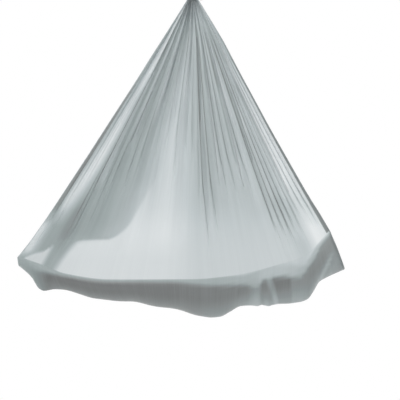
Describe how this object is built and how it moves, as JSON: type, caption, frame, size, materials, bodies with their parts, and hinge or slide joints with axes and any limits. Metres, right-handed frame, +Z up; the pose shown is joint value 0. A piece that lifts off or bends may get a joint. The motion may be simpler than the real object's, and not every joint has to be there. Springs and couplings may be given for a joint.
{
  "type": "aerial yoga hammock",
  "caption": "Aerial yoga hammock: a wide knit cloth pouch, gathered and knotted at its ends, hung on webbing daisy chains and screw-lock carabiners from bolted ceiling plates.",
  "frame": {"origin": "on the ceiling plane, midway between the middles of the ceiling plates", "axes": "+Z up, +X towards the head end of the cloth, +Y from the front hanging point to the rear one"},
  "size_m": [1.625, 0.597, 2.3029],
  "materials": {
    "powder_black": "satin",
    "zinc": "satin",
    "carabiner_steel": "satin",
    "sleeve_steel": "satin",
    "webbing": "matte",
    "tricot": "satin"
  },
  "bodies": {
    "ceiling_mounts": {"ceiling_plate_front": "powder_black", "ceiling_plate_rear": "powder_black", "plate_bolt_front_1": "zinc", "plate_bolt_front_2": "zinc", "plate_bolt_front_3": "zinc", "plate_bolt_front_4": "zinc", "plate_bolt_rear_1": "zinc", "plate_bolt_rear_2": "zinc", "plate_bolt_rear_3": "zinc", "plate_bolt_rear_4": "zinc", "plate_washer_front_1": "zinc", "plate_washer_front_2": "zinc", "plate_washer_front_3": "zinc", "plate_washer_front_4": "zinc", "plate_washer_rear_1": "zinc", "plate_washer_rear_2": "zinc", "plate_washer_rear_3": "zinc", "plate_washer_rear_4": "zinc"},
    "sling": {"carabiner_front_upper": "carabiner_steel", "carabiner_front_lower": "carabiner_steel", "carabiner_rear_upper": "carabiner_steel", "carabiner_rear_lower": "carabiner_steel", "gate_rivet_front_upper": "carabiner_steel", "gate_rivet_front_lower": "carabiner_steel", "gate_rivet_rear_upper": "carabiner_steel", "gate_rivet_rear_lower": "carabiner_steel", "daisy_chain_front": "webbing", "daisy_chain_rear": "webbing", "knot_front": "tricot", "knot_rear": "tricot", "hammock_cloth": "tricot"},
    "front_upper_gate": {"gate_front_upper": "carabiner_steel"},
    "front_lower_gate": {"gate_front_lower": "carabiner_steel"},
    "rear_upper_gate": {"gate_rear_upper": "carabiner_steel"},
    "rear_lower_gate": {"gate_rear_lower": "carabiner_steel"},
    "front_upper_sleeve": {"lock_sleeve_front_upper": "sleeve_steel"},
    "front_lower_sleeve": {"lock_sleeve_front_lower": "sleeve_steel"},
    "rear_upper_sleeve": {"lock_sleeve_rear_upper": "sleeve_steel"},
    "rear_lower_sleeve": {"lock_sleeve_rear_lower": "sleeve_steel"}
  },
  "joints": [
    {"name": "swing", "type": "hinge", "parent": "ceiling_mounts", "child": "sling", "pos_m": [0, 0, -0.039], "axis": [0, 1, 0], "range_deg": [-30, 30]},
    {"name": "front_upper_gate_hinge", "type": "hinge", "parent": "sling", "child": "front_upper_gate", "pos_m": [0.0255, -0.25, -0.0607], "axis": [0, 1, 0], "range_deg": [0, 25], "stiffness_Nm_per_rad": 0.4, "springref_deg": -14.32},
    {"name": "rear_upper_gate_hinge", "type": "hinge", "parent": "sling", "child": "rear_upper_gate", "pos_m": [0.0255, 0.25, -0.0607], "axis": [0, 1, 0], "range_deg": [0, 25], "stiffness_Nm_per_rad": 0.4, "springref_deg": -14.32},
    {"name": "front_lower_gate_hinge", "type": "hinge", "parent": "sling", "child": "front_lower_gate", "pos_m": [0.0255, -0.25, -0.4577], "axis": [0, 1, 0], "range_deg": [0, 25], "stiffness_Nm_per_rad": 0.4, "springref_deg": -14.32},
    {"name": "rear_lower_gate_hinge", "type": "hinge", "parent": "sling", "child": "rear_lower_gate", "pos_m": [0.0255, 0.25, -0.4577], "axis": [0, 1, 0], "range_deg": [0, 25], "stiffness_Nm_per_rad": 0.4, "springref_deg": -14.32},
    {"name": "front_upper_sleeve_travel", "type": "slide", "parent": "front_upper_gate", "child": "front_upper_sleeve", "axis": [0, 0, -1], "range_m": [0, 0.009]},
    {"name": "rear_upper_sleeve_travel", "type": "slide", "parent": "rear_upper_gate", "child": "rear_upper_sleeve", "axis": [0, 0, -1], "range_m": [0, 0.009]},
    {"name": "front_lower_sleeve_travel", "type": "slide", "parent": "front_lower_gate", "child": "front_lower_sleeve", "axis": [0, 0, -1], "range_m": [0, 0.009]},
    {"name": "rear_lower_sleeve_travel", "type": "slide", "parent": "rear_lower_gate", "child": "rear_lower_sleeve", "axis": [0, 0, -1], "range_m": [0, 0.009]}
  ]
}
